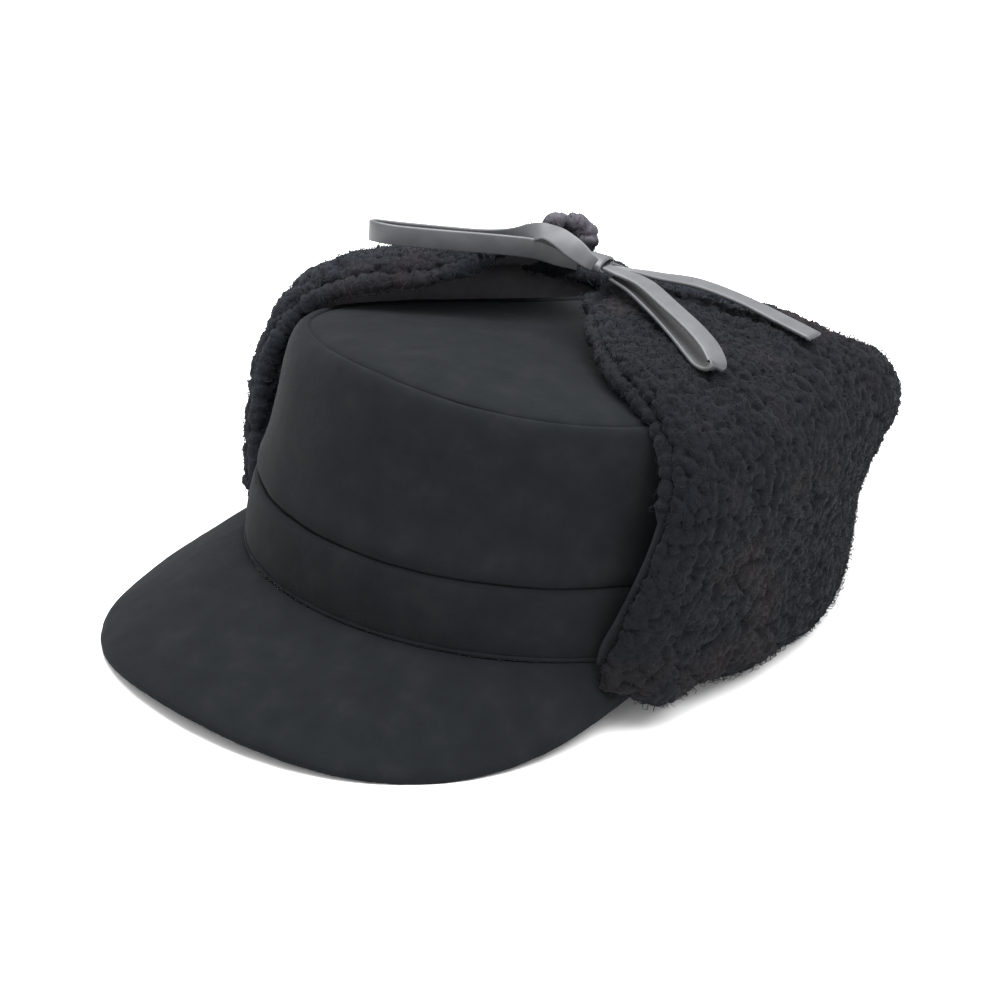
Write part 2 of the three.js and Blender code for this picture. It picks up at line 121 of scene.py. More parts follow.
# Fleece: rounded tufts of wool in two sizes over the sheet, and thin fuzz that stands out of it.
FLEECE_EDGE = 1.15 * MM
REFINE_ROUNDS = 4
TUFT_SIZE = 3.5 * MM
TUFT_DEPTH = 1.8 * MM
SMALL_TUFT_SIZE = 1.7 * MM
SMALL_TUFT_DEPTH = 0.7 * MM
FLEECE_WAVE = 9 * MM
FLEECE_WAVE_DEPTH = 0.8 * MM
FLEECE_RISE = 0.5 * MM
FUZZ_SPACING = 1.5 * MM
FUZZ_LENGTH = 2.6 * MM
FUZZ_THICKNESS = 0.17 * MM
FUZZ_RINGS = 3
FUZZ_SIDES = 3
FLOOR_CLEARANCE = 0.2 * MM
SHELL_CLEARANCE = 1.1 * MM

# Where the fleece also covers the wool sheet's rim, and how far in from it on the near and the far side.
SHARP_EDGE = math.radians(70)
RIM_STEP = 1 * MM
COVER_NEAR = 3.2 * MM
COVER_FAR = 11 * MM
COVER_EASE = 2 * MM
COVER_RISE = 1.7 * MM
COVER_ABOVE = 28 * MM
COVER_WAVE = 7 * MM
COVER_UNEVEN = 0.3
COVER_SHOWN = 0.3
COVER_FUZZ = 0.5
SIDE_BLEND = 12 * MM
UNDER_FLEECE = 0.3 * MM
BARE_STRIP_TOP = 70 * MM
BARE_STRIP_BACK = 0 * MM

# The far flap's tip leans back from the knot: height it starts at, height it takes, shift at the top.
TIP_FROM = 107
TIP_RISE = 12
TIP_SHIFT = Vector((-5, 10, -3.6))
TIP_X_LIMIT = 2
TIP_X_FROM = -24
TIP_MARGIN = 2

# Front lower corners of the near flap's fleece, which hang over the peak: place, shift and reach.
DROOPS = [
    (Vector((78, -54, 21)), Vector((-0.5, -3, -8)), 11),
    (Vector((85, -40, 17)), Vector((2.5, -3.5, -10)), 12),
]

# Lace, as its route is drawn in the part: points and width directions in millimetres.
LACE_THICKNESS = 1.3
LACE_WIDTH = 6.8
LACE_STEPS = 8
KNOT_AT = Vector((4, 10.5, 112))
WRAP_AT = Vector((5.6, 8.2, 112.6))
WRAP_REACH = 4.8
WRAP_HEIGHT = 1.8
WRAP_STEPS = 12
WRAP_ALONG = Vector((0.955, 0.29, -0.05)).normalized()
WRAP_ACROSS = Vector((-0.29, 0.955, 0)).normalized()

FRONT_LOOP = [
    ((2.5, 2.7, 112.2), (0, 0, 1), 3.8),
    ((-5.6, 1.6, 112.6), (0, 0, 1), 6),
    ((-14, 0, 113), (0, 0, 1), LACE_WIDTH),
    ((-20, -5, 113.4), (0, 0, 1), LACE_WIDTH),
    ((-27, -12, 113.8), (0, 0, 1), LACE_WIDTH),
    ((-36, -21, 114.2), (0, 0, 1), LACE_WIDTH),
    ((-45, -29.5, 114.6), (0, 0, 1), LACE_WIDTH),
    ((-51, -33, 114.7), (0, 0, 1), LACE_WIDTH),
    ((-56, -32, 113.8), (0, 0, 1), LACE_WIDTH),
    ((-56.5, -27.5, 112.8), (0, 0, 1), LACE_WIDTH),
    ((-52, -23, 112.4), (0, 0, 1), LACE_WIDTH),
    ((-43, -14, 111.8), (0, 0, 1), LACE_WIDTH),
    ((-35.5, -6.5, 111.4), (0, 0, 1), LACE_WIDTH),
    ((-30, -2, 111.8), (0, 0, 1), LACE_WIDTH),
    ((-24, 0.5, 113.4), (-0.05, 0.1, 1), LACE_WIDTH),
    ((-18.5, 1, 116.2), (-0.15, 0.25, 0.96), LACE_WIDTH),
    ((-14.5, 1.5, 118.2), (-0.35, 0.6, 0.72), LACE_WIDTH),
    ((-10.5, 2, 119.1), (-0.3, 0.85, 0.43), LACE_WIDTH),
    ((-5, 1.5, 119.2), (0.1, 0.8, 0.58), LACE_WIDTH),
    ((2.5, 0.5, 118), (0.33, 0.68, 0.65), LACE_WIDTH),
    ((7.5, 1, 116), (0.38, 0.68, 0.62), 5.6),
    ((9.5, 2.5, 114.4), (0.38, 0.68, 0.62), 4.6),
]
LOOP_WIDE = (0.2, 0.97, -0.05)
SIDE_LOOP = [
    ((10.5, 7, 112.8), LOOP_WIDE, 4.4),
    ((15, 7.5, 112.6), LOOP_WIDE, 5.6),
    ((25.5, 8.5, 111.8), LOOP_WIDE, LACE_WIDTH),
    ((40, 4, 110.6), LOOP_WIDE, LACE_WIDTH),
    ((55.5, -1.5, 109.4), LOOP_WIDE, LACE_WIDTH),
    ((65, -5.5, 108.2), LOOP_WIDE, LACE_WIDTH),
    ((70, -8, 106.8), LOOP_WIDE, LACE_WIDTH),
    ((72.5, -9.5, 105.2), LOOP_WIDE, LACE_WIDTH),
    ((71.5, -10.5, 103.8), LOOP_WIDE, LACE_WIDTH),
    ((67, -9.5, 103.3), LOOP_WIDE, LACE_WIDTH),
    ((61.5, -7, 103.7), LOOP_WIDE, LACE_WIDTH),
    ((52, -2.5, 104.7), LOOP_WIDE, 6.6),
    ((41, 2, 106), LOOP_WIDE, 6.2),
    ((31, 5, 107.4), LOOP_WIDE, 5.4),
    ((21.5, 7, 109), LOOP_WIDE, 4.6),
    ((14, 6.5, 110.6), LOOP_WIDE, 4),
]
LONG_TAIL = [
    ((10, 11, 111.5), (0.45, -0.8, 0.3), 4.6),
    ((17, 16, 111), (0.45, -0.85, 0.2), 6.2),
    ((22.5, 21, 110), (0.5, -0.85, 0.1), LACE_WIDTH),
    ((31, 29, 108.5), (0.5, -0.85, 0), LACE_WIDTH),
    ((44, 34.5, 106), (0.5, -0.85, 0), LACE_WIDTH),
    ((58.5, 37, 103.5), (0.5, -0.85, -0.05), LACE_WIDTH),
    ((71.5, 38.5, 101.5), (0.5, -0.85, -0.05), LACE_WIDTH),
]
SHORT_TAIL = [
    ((2.6, 16.2, 109.8), (1, 0, 0.1), 4.6),
    ((2, 24, 105.6), (1, 0, 0.1), LACE_WIDTH),
    ((0, 33, 99), (1, 0, 0.1), LACE_WIDTH),
    ((-2, 40, 92), (1, 0, 0.1), LACE_WIDTH),
]

# Colours of each material over its noise: place on the ramp and colour.
WOOL_SHADES = (
    (0.3, (0.0058, 0.0067, 0.0076)), (0.55, (0.0070, 0.0080, 0.0090)), (0.75, (0.0090, 0.0099, 0.0108)),
)
# Painted light: the flaps' wool sheet is painted much lighter on its far side, standing in for light on the
# far flap's shaded inner face.
FAR_WOOL_PAINTED_LIGHT = ((0.3, (0.105, 0.100, 0.110)), (0.75, (0.145, 0.138, 0.150)))
FLEECE_SHADES = (
    (0.35, (0.0054, 0.0066, 0.0082)), (0.52, (0.0062, 0.0071, 0.0087)), (0.7, (0.0106, 0.0091, 0.0102)),
)
# Painted highlight: the far flap's tip, lit from above, is painted lighter up its height.
PAINTED_HIGHLIGHT_TIP_SHADES = ((0.3, (0.042, 0.040, 0.048)), (0.7, (0.078, 0.074, 0.086)))
LEATHER_SHADES = ((0.3, (0.046, 0.047, 0.051)), (0.7, (0.064, 0.065, 0.070)))

# Where the painted light passes in: the lighter far side across the cap for the shell and fleece, and the
# painted highlight up the far tip.
SHELL_PAINTED_LIGHT_BLEND = (12 * MM, -6 * MM)
FLEECE_PAINTED_LIGHT_BLEND = (45 * MM, -15 * MM)
PAINTED_HIGHLIGHT_TIP_BLEND = (111.5 * MM, 114 * MM)


def middle_of(node):
    low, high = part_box(node)
    return (low + high) / 2


# Where the origin of the part's drawing lies in the frame.
DRAWING_ORIGIN = middle_of("lace_knot") - KNOT_AT * MM


def drawn(place):
    """Where a place of the frame lies in the part's drawing, in millimetres."""
    return (place - DRAWING_ORIGIN) / MM


def soft_share(share):
    """A share kept between 0 and 1, with soft ends."""
    share = min(max(share, 0), 1)
    return share * share * (3 - 2 * share)


def node_tree(name):
    """A new material with its Principled shader: (material, shader, add), where add makes a node."""
    material = bpy.data.materials.new(name)
    material.use_nodes = True
    tree = material.node_tree

    def add(kind, **inputs):
        node = tree.nodes.new(kind)
        for key, value in inputs.items():
            node.inputs[key.replace("_", " ")].default_value = value
        return node

    return material, tree.nodes["Principled BSDF"], add


def link(material, output, socket):
    material.node_tree.links.new(output, socket)


def noise_at(material, add, scale, detail=3.0, roughness=0.55):
    """Noise over the piece's own coordinates, which are the frame's, in features per metre."""
    place = add("ShaderNodeTexCoord")
    texture = add("ShaderNodeTexNoise", Scale=scale, Detail=detail, Roughness=roughness)
    link(material, place.outputs["Object"], texture.inputs["Vector"])
    return texture.outputs["Fac"]


def colour_ramp(material, add, factor, stops):
    ramp = add("ShaderNodeValToRGB")
    ramp.color_ramp.elements[0].position, ramp.color_ramp.elements[0].color = stops[0][0], (*stops[0][1], 1)
    ramp.color_ramp.elements[1].position, ramp.color_ramp.elements[1].color = stops[-1][0], (*stops[-1][1], 1)
    for position, colour in stops[1:-1]:
        ramp.color_ramp.elements.new(position).color = (*colour, 1)
    link(material, factor, ramp.inputs["Fac"])
    return ramp.outputs["Color"]


def toned(stops, tone):
    """Stops of a colour ramp, with their colours multiplied by tone."""
    return [(place, tuple(tone * c for c in colour)) for place, colour in stops]


def bump(material, add, shader, heights):
    """Chained bumps: heights are (height output, distance in metres, strength)."""
    before = None
    for height, distance, strength in heights:
        node = add("ShaderNodeBump", Strength=strength, Distance=distance)
        link(material, height, node.inputs["Height"])
        if before:
            link(material, before, node.inputs["Normal"])
        before = node.outputs["Normal"]
    link(material, before, shader.inputs["Normal"])


def wool_material(name, tone, painted_light_far_shades=None):
    """Felted wool, whose colours are multiplied by tone; the far-side shades, if given, are painted light:
    lighter colours on the far side, in place of light reaching the far flap's shaded inner face.
    """
    material, shader, add = node_tree(name)
    mottle = noise_at(material, add, 90, 4)
    fibre = noise_at(material, add, 1500, 4, 0.7)
    felt = noise_at(material, add, 420, 3, 0.6)
    colour = colour_ramp(material, add, mottle, toned(WOOL_SHADES, tone))
    if painted_light_far_shades:
        painted_light_far_colour = colour_ramp(material, add, mottle, painted_light_far_shades)
        colour = blend(material, add, "X", *SHELL_PAINTED_LIGHT_BLEND, colour, painted_light_far_colour)
    link(material, colour, shader.inputs["Base Color"])
    shader.inputs["Roughness"].default_value = 0.95
    shader.inputs["Specular IOR Level"].default_value = 0.05
    shader.inputs["Sheen Weight"].default_value = 0.018 * tone
    shader.inputs["Sheen Roughness"].default_value = 0.45
    shader.inputs["Sheen Tint"].default_value = (0.78, 0.84, 0.9, 1)
    bump(material, add, shader, [(felt, 0.35 * MM, 0.35), (fibre, 0.18 * MM, 0.6)])
    return material


def blend(material, add, axis, start, end, first, second):
    """The first colour up to start on an axis of the frame, and the second from end on."""
    place = add("ShaderNodeTexCoord")
    split = add("ShaderNodeSeparateXYZ")
    link(material, place.outputs["Object"], split.inputs["Vector"])
    share = add("ShaderNodeMapRange")
    share.inputs["From Min"].default_value = start
    share.inputs["From Max"].default_value = end
    link(material, split.outputs[axis], share.inputs["Value"])
    mixed = add("ShaderNodeMix")
    mixed.data_type = "RGBA"
    link(material, share.outputs["Result"], mixed.inputs[0])
    colours = [socket for socket in mixed.inputs if socket.type == "RGBA"]
    link(material, first, colours[0])
    link(material, second, colours[1])
    return next(socket for socket in mixed.outputs if socket.type == "RGBA")


def fleece_material(name, tone, painted_light_far_tone):
    """Curly fleece: blue-grey with brownish patches, times tone on the near side; the lighter far-side tone
    and the lighter far tip are painted light.
    """
    material, shader, add = node_tree(name)
    patch = noise_at(material, add, 34, 3)
    strand = noise_at(material, add, 1900, 4, 0.7)
    curl = noise_at(material, add, 650, 3, 0.6)
    near_colour, painted_light_far_colour = (
        colour_ramp(material, add, patch, toned(FLEECE_SHADES, each)) for each in (tone, painted_light_far_tone)
    )
    # Painted highlight: lighter colour up the far flap's tip.
    painted_highlight_tip = colour_ramp(material, add, curl, PAINTED_HIGHLIGHT_TIP_SHADES)
    colour = blend(material, add, "X", *FLEECE_PAINTED_LIGHT_BLEND, near_colour, painted_light_far_colour)
    colour = blend(material, add, "Z", *PAINTED_HIGHLIGHT_TIP_BLEND, colour, painted_highlight_tip)
    link(material, colour, shader.inputs["Base Color"])
    shader.inputs["Roughness"].default_value = 0.95
    shader.inputs["Specular IOR Level"].default_value = 0.05
    shader.inputs["Sheen Weight"].default_value = 0.025 * tone
    shader.inputs["Sheen Roughness"].default_value = 0.5
    shader.inputs["Sheen Tint"].default_value = (0.88, 0.86, 0.92, 1)
    bump(material, add, shader, [(curl, 0.7 * MM, 0.6), (strand, 0.25 * MM, 0.6)])
    return material


def leather_material(name, tone):
    """Smooth leather with a fine grain, whose colours are multiplied by tone."""
    material, shader, add = node_tree(name)
    cloud = noise_at(material, add, 150, 3)
    grain = noise_at(material, add, 2200, 4, 0.65)
    colour = colour_ramp(material, add, cloud, toned(LEATHER_SHADES, tone))
    link(material, colour, shader.inputs["Base Color"])
    shader.inputs["Roughness"].default_value = 0.42
    shader.inputs["Specular IOR Level"].default_value = 0.4
    bump(material, add, shader, [(grain, 0.05 * MM, 0.35)])
    return material


WOOL = wool_material("felted_wool", 1.0)
# Painted light: the flaps' wool sheet is painted lighter (tone 1.3) and much lighter on the far side, for its
# shaded inner face and the far tip.
PAINTED_LIGHT_SHELL_WOOL = wool_material("flap_wool_painted_light", 1.3, FAR_WOOL_PAINTED_LIGHT)
# Painted light: the fleece is painted lighter on the far flap, and the fuzz lighter still, in place of light
# on the far side and on the strands' self-shadowed sides.
FLEECE = fleece_material("curly_fleece", 1.0, 1.9)
FUZZ = fleece_material("fleece_fuzz", 1.2, 2.6)
LEATHER = leather_material("lace_leather", 1.0)
# Painted shade: a darker copy of the leather for the side loop's inner face, shaded by its upper strand.
PAINTED_SHADE_LEATHER = leather_material("lace_leather_painted_shade", 0.5)


def new_piece(name, vertices, faces, material, slot, smooth=True):
    mesh = bpy.data.meshes.new(name)
    mesh.from_pydata([tuple(v) for v in vertices], [], [list(f) for f in faces])
    mesh.validate()
    mesh.materials.append(material)
    mesh.polygons.foreach_set("use_smooth", [smooth] * len(mesh.polygons))
    mesh.update()
    piece = bpy.data.objects.new(name, mesh)
    bpy.context.scene.collection.objects.link(piece)
    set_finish(piece, slot)
    return piece


def with_modifiers_applied(piece):
    bpy.context.view_layer.update()
    depsgraph = bpy.context.evaluated_depsgraph_get()
    mesh = bpy.data.meshes.new_from_object(piece.evaluated_get(depsgraph))
    piece.modifiers.clear()
    piece.data = mesh
    return piece


def smooth_copy(node, name, material, slot, levels, splits=0):
    """A subdivided copy of a CAD node, whose triangles are first joined and then split plainly."""
    surface = bmesh.new()
    surface.from_mesh(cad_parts[node].data)
    bmesh.ops.remove_doubles(surface, verts=surface.verts, dist=WELD)
    bmesh.ops.join_triangles(
        surface, faces=surface.faces, angle_face_threshold=JOIN_ANGLE, angle_shape_threshold=math.pi
    )
    surface.verts.ensure_lookup_table()
    vertices = [v.co.copy() for v in surface.verts]
    faces = [[v.index for v in f.verts] for f in surface.faces]
    surface.free()
    piece = new_piece(name, vertices, faces, material, slot)
    if splits:
        split = piece.modifiers.new("split", "SUBSURF")
        split.subdivision_type = "SIMPLE"
        split.levels = split.render_levels = splits
    subdivision = piece.modifiers.new("subdivision", "SUBSURF")
    subdivision.levels = subdivision.render_levels = levels
    return with_modifiers_applied(piece)


def displace(piece, depth, wavelength, seed):
    """Moves a piece's points along their normals by depth times smooth noise of that wavelength."""
    mesh = piece.data
    shift = Vector((seed, 2.3 * seed, -1.7 * seed))
    normals = [v.normal.copy() for v in mesh.vertices]
    for vertex, normal in zip(mesh.vertices, normals):
        vertex.co += normal * (depth * noise.noise(vertex.co / wavelength + shift))
    mesh.update()


def wool_piece(node, name, levels, dent, material=WOOL, splits=0):
    piece = smooth_copy(node, name, material, "wool", levels, splits)
    displace(piece, dent, DENT_WAVE, DENT_SEED)
    displace(piece, NAP_DEPTH, NAP_WAVE, NAP_SEED)
    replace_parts(piece, node)
    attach(piece, "root")
    return piece


def draw_out_corner(piece):
    """Pushes the peak's far front corner out, and its surroundings less and less."""
    for vertex in piece.data.vertices:
        place = drawn(vertex.co)
        away = (Vector((place.x, place.y, 0)) - PEAK_TIP).length / PEAK_TIP_WIDTH
        vertex.co += PEAK_TIP_PUSH * MM * math.exp(-(away**2))
    piece.data.update()


wool_piece("band", "wool_band", 3, 0.35 * MM)
wool_piece("crown_side", "wool_crown_side", 2, 0.6 * MM)
crown_top = wool_piece("crown_top", "wool_crown_top", 3, 0.3 * MM)
peak = wool_piece("peak", "wool_peak", 2, 0.3 * MM, splits=1)
draw_out_corner(peak)
flap_shell = wool_piece("flap_shell", "wool_flap_shell", 2, 0.2 * MM, PAINTED_LIGHT_SHELL_WOOL)


def lean_tip_back(piece):
    for vertex in piece.data.vertices:
        place = drawn(vertex.co)
        if place.x < TIP_X_LIMIT and place.z > TIP_FROM:
            share = min((place.z - TIP_FROM) / TIP_RISE, 1)
            vertex.co += TIP_SHIFT * MM * share * share * (3 - 2 * share)
    piece.data.update()


lean_tip_back(flap_shell)


def head_ring(degrees, offset):
    """A point on the head ring moved out by offset, and the band's lower edge there."""
    angle = math.radians(degrees)
    full = 1 + FOREHEAD_FULLNESS * math.cos(angle)
    x, y = (HALF_WIDTH + offset) * math.sin(angle) * full, -(HALF_LENGTH + offset) * math.cos(angle)
    ease = 1 - BAND_REAR_EASE * y / HALF_LENGTH if y > 0 else 1
    return Vector((x, y, BAND_LOW_AT_SIDE + BAND_SLOPE * y * ease))


def seam_ring(degrees, inset):
    """A point on the crown's upper seam, moved in by inset."""
    angle = math.radians(degrees)
    full = 1 + CROWN_FULLNESS * math.cos(angle)
    heights = [Vector((0, 0, height)) for height in SEAM_HEIGHT]
    height = catmull_rom(heights, (degrees + 180) / 360).z
    x = (CROWN_HALF_WIDTH - inset) * math.sin(angle) * full
    return Vector((x, -(CROWN_HALF_LENGTH - inset) * math.cos(angle), height))


def catmull_rom(points, share):
    """A point on a smooth line through the points, at a share from 0 to 1 of their count."""
    position = share * (len(points) - 1)
    i = min(int(position), len(points) - 2)
    t = position - i
    before = points[i - 1] if i else points[0] * 2 - points[1]
    after = points[i + 2] if i + 2 < len(points) else points[-1] * 2 - points[-2]
    a, b = points[i], points[i + 1]
    return 0.5 * (
        2 * a + (b - before) * t + (2 * before - 5 * a + 4 * b - after) * t**2
        + (3 * a - before - 3 * b + after) * t**3
    )


def welt(name, route, radius, first=-180, last=180):
    """A thin roll of wool that lies in a seam; route(degrees) is its middle line in the drawing."""
    steps, sides = WELT_STEPS, WELT_SIDES
    vertices = []
    for i in range(steps + 1):
        degrees = first + (last - first) * i / steps
        centre = route(degrees)
        out = Vector((centre.x, centre.y, 0)).normalized()
        for k in range(sides):
            angle = math.tau * k / sides
            around = out * math.cos(angle) + Vector((0, 0, 1)) * math.sin(angle)
            vertices.append(DRAWING_ORIGIN + (centre + around * radius) * MM)
    faces = [
        (i * sides + k, i * sides + (k + 1) % sides, (i + 1) * sides + (k + 1) % sides, (i + 1) * sides + k)
        for i in range(steps) for k in range(sides)
    ]
    faces.append(tuple(reversed(range(sides))))
    faces.append(tuple(steps * sides + k for k in range(sides)))
    piece = new_piece(name, vertices, faces, WOOL, "wool")
    displace(piece, WELT_DENT, WELT_WAVE, WELT_SEED)
    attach(piece, "root")


def nearness(degrees):
    """1 on the seam's forehead and near side, and 0 on its far side."""
    return 0.5 + 0.5 * math.cos(math.radians(degrees - NEAR_ANGLE))


def seam_filling(degrees):
    """Middle line of the roll in the upper seam, which lies deeper at the forehead and near side."""
    depth = SEAM_WELT_DEPTH + SEAM_WELT_NEAR_DEPTH * nearness(degrees)
    return seam_ring(degrees, SEAM_WELT_INSET) - Vector((0, 0, depth))


def band_filling(degrees):
    """Middle line of the roll between the band and the crown."""
    return head_ring(degrees, -BAND_WELT_INSET) + Vector((0, 0, BAND_WELT_HEIGHT))


def peak_filling(degrees):
    """Middle line of the roll between the band and the peak."""
    return head_ring(degrees, -PEAK_WELT_INSET) - Vector((0, 0, PEAK_WELT_DEPTH))


def raise_edge(piece):
    """Stands the top's cloth up behind its seam."""
    seam_line = [(degrees, seam_ring(degrees, STEP_INSET)) for degrees in range(-180, 180, 3)]
    for vertex in piece.data.vertices:
        place = drawn(vertex.co)
        away, degrees = min(((point - place).length, degrees) for degrees, point in seam_line)
        brow = math.exp(-(((degrees - BROW_ANGLE) / BROW_REACH) ** 2))
        step = SEAM_STEP * nearness(degrees) + BROW_STEP * brow
        rise = soft_share(away / STEP_WIDTH) * math.exp(-((away / STEP_RETURN) ** 2))
        vertex.co.z += step * rise * MM
    piece.data.update()


raise_edge(crown_top)
welt("seam_filling", seam_filling, SEAM_WELT)
welt("band_filling", band_filling, BAND_WELT)
welt("peak_filling", peak_filling, PEAK_WELT, -PEAK_CORNER, PEAK_CORNER)


def spread_points(piece, spacing, seed, keep):
    """Points on a mesh about a spacing apart: [(place, normal)], for those that keep accepts."""
    rng = random.Random(seed)
    mesh = piece.data
    mesh.calc_loop_triangles()
    corners = np.array([[mesh.vertices[i].co for i in t.vertices] for t in mesh.loop_triangles])
    areas = np.linalg.norm(np.cross(corners[:, 1] - corners[:, 0], corners[:, 2] - corners[:, 0]), axis=1) / 2
    normals = [t.normal.copy() for t in mesh.loop_triangles]
    tries = int(areas.sum() / spacing**2 * 5)
    chosen = rng.choices(range(len(areas)), weights=areas.tolist(), k=tries)
    cells = {}
    found = []
    for index in chosen:
        u, v = rng.random(), rng.random()
        if u + v > 1:
            u, v = 1 - u, 1 - v
        a, b, c = (Vector(p) for p in corners[index])
        place = a + (b - a) * u + (c - a) * v
        cell = tuple(int(math.floor(x / spacing)) for x in place)
        near = (
            q
            for dx in (-1, 0, 1) for dy in (-1, 0, 1) for dz in (-1, 0, 1)
            for q in cells.get((cell[0] + dx, cell[1] + dy, cell[2] + dz), ())
        )
        if any((q - place).length < spacing for q in near) or not keep(place):
            continue
        cells.setdefault(cell, []).append(place)
        found.append((place, normals[index]))
    return found


def unit(vectors):
    return vectors / np.linalg.norm(vectors, axis=-1, keepdims=True)


def refine(piece, longest, wanted):
    """Splits the mesh's edges that are longer than this, where wanted accepts their middle."""
    surface = bmesh.new()
    surface.from_mesh(piece.data)
    bmesh.ops.triangulate(surface, faces=surface.faces)
    for _ in range(REFINE_ROUNDS):
        edges = [
            edge for edge in surface.edges
            if edge.calc_length() > longest and wanted((edge.verts[0].co + edge.verts[1].co) / 2)
        ]
        bmesh.ops.subdivide_edges(surface, edges=edges, cuts=1)
        bmesh.ops.triangulate(surface, faces=[face for face in surface.faces if len(face.verts) > 3])
    surface.to_mesh(piece.data)
    surface.free()
    piece.data.polygons.foreach_set("use_smooth", [True] * len(piece.data.polygons))
    piece.data.update()


def tuft_height(place, size):
    """Height from 0 to 1 of rounded tufts of about this size, with creases between them."""
    warped = place / size + 0.45 * noise.noise_vector(place / (1.6 * size))
    nearest = noise.voronoi(warped)[0][0]
    return math.sqrt(max(1 - (nearest / 0.8) ** 2, 0))


def raise_tufts(piece, cover=None):
    """Shapes the fleece: tufts of wool in two sizes over slow waves, by the share that cover gives."""
    mesh = piece.data
    normals = [v.normal.copy() for v in mesh.vertices]
    for vertex, normal in zip(mesh.vertices, normals):
        place = vertex.co.copy()
        share = cover(place) if cover else 1
        if not share:
            continue
        height = FLEECE_RISE + FLEECE_WAVE_DEPTH * noise.noise(place / FLEECE_WAVE)
        height += TUFT_DEPTH * (tuft_height(place, TUFT_SIZE) - 1)
        height += SMALL_TUFT_DEPTH * (tuft_height(place, SMALL_TUFT_SIZE) - 0.5)
        if cover:
            height += COVER_RISE
        vertex.co = place + normal * height * share
        vertex.co.z = max(vertex.co.z, FLOOR_CLEARANCE)
    mesh.update()


def fuzz_mesh(roots, seed):
    """Vertices and faces of one thin bent strand of wool at each root."""
    rng = np.random.default_rng(seed)
    count = len(roots)
    places = np.array([place for place, _ in roots])
    normals = unit(np.array([normal for _, normal in roots]))
    flat = unit(np.cross(normals, rng.normal(0, 1, (count, 3))))
    across = np.cross(normals, flat)
    share = np.linspace(0, 1, FUZZ_RINGS)
    length = FUZZ_LENGTH * rng.uniform(0.6, 1.3, count)[:, None]
    bend = rng.uniform(-1, 1, count)[:, None] * share**2
    rise = rng.uniform(0.15, 0.55, count)[:, None] * np.sin(0.75 * math.pi * share)
    centres = (
        places[:, None] + flat[:, None] * (length * share * 0.8)[..., None]
        + across[:, None] * (length * bend * 0.6)[..., None] + normals[:, None] * (length * rise)[..., None]
    )
    girth = FUZZ_THICKNESS * (1 - 0.65 * share) * rng.uniform(0.7, 1.2, count)[:, None]
    angle = math.tau * np.arange(FUZZ_SIDES) / FUZZ_SIDES
    around = across[:, None] * np.cos(angle)[:, None] + normals[:, None] * np.sin(angle)[:, None]
    vertices = (centres[:, :, None] + around[:, None] * girth[..., None, None]).reshape(-1, 3)
    vertices[:, 2] = np.maximum(vertices[:, 2], FLOOR_CLEARANCE)
    faces = []
    for first in range(0, len(vertices), FUZZ_RINGS * FUZZ_SIDES):
        for ring in range(FUZZ_RINGS - 1):
            a = first + ring * FUZZ_SIDES
            for k in range(FUZZ_SIDES):
                n = (k + 1) % FUZZ_SIDES
                faces.append((a + k, a + n, a + n + FUZZ_SIDES, a + k + FUZZ_SIDES))
        last = first + (FUZZ_RINGS - 1) * FUZZ_SIDES
        faces.append(tuple(first + k for k in reversed(range(FUZZ_SIDES))))
        faces.append(tuple(last + k for k in range(FUZZ_SIDES)))
    return vertices.tolist(), faces


def rim_tree(node):
    """Points along the sharp edges of a CAD node, in a tree to search."""
    surface = bmesh.new()
    surface.from_mesh(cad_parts[node].data)
    bmesh.ops.remove_doubles(surface, verts=surface.verts, dist=WELD)
    points = []
    for edge in surface.edges:
        if edge.is_manifold and edge.calc_face_angle() > SHARP_EDGE:
            a, b = (v.co.copy() for v in edge.verts)
            steps = max(1, round((b - a).length / RIM_STEP))
            points += [a.lerp(b, i / steps) for i in range(steps + 1)]
    surface.free()
    tree = KDTree(len(points))
    for i, point in enumerate(points):
        tree.insert(point, i)
    tree.balance()
    return tree


shell_surface = BVHTree.FromObject(flap_shell, bpy.context.evaluated_depsgraph_get())
shell_rim = rim_tree("flap_shell")


def clear_of_shell(place):
    return shell_surface.find_nearest(place)[3] > SHELL_CLEARANCE


def hang_corners(piece):
    """Lets the near flap's front lower corners hang over the peak."""
    for vertex in piece.data.vertices:
        for place, shift, reach in DROOPS:
            away = (vertex.co - DRAWING_ORIGIN - place * MM).length / (reach * MM)
            vertex.co += shift * MM * math.exp(-(away**2))
        vertex.co.z = max(vertex.co.z, FLOOR_CLEARANCE)
    piece.data.update()


fleece = smooth_copy("flap_fleece", "fleece_sheet", FLEECE, "fleece", 2)
lean_tip_back(fleece)
hang_corners(fleece)
refine(fleece, FLEECE_EDGE, clear_of_shell)
raise_tufts(fleece)
fleece_surface = BVHTree.FromObject(fleece, bpy.context.evaluated_depsgraph_get())


def is_tip(place):
    """Whether this place is on the far flap's tip."""
    point = drawn(place)
    return TIP_X_FROM < point.x < TIP_X_LIMIT and point.z > TIP_FROM + TIP_MARGIN


def cover(place):
    """Share from 0 to 1 of the fleece that grows over this place of the wool sheet."""
    if is_tip(place):
        return 1
    if place.x > 0 and (place.z < COVER_ABOVE or place.z < BARE_STRIP_TOP and place.y < BARE_STRIP_BACK):
        return 0
    side = min(max(0.5 - 0.5 * place.x / SIDE_BLEND, 0), 1)
    uneven = 1 + COVER_UNEVEN * noise.noise(place / COVER_WAVE)
    reach = (COVER_NEAR + (COVER_FAR - COVER_NEAR) * side) * uneven
    return soft_share((reach - shell_rim.find(place)[2]) / COVER_EASE)


refine(flap_shell, FLEECE_EDGE, cover)
raise_tufts(flap_shell, cover)
flap_shell.data.materials.append(FLEECE)
for face in flap_shell.data.polygons:
    if cover(face.center) > COVER_SHOWN:
        face.material_index = 1


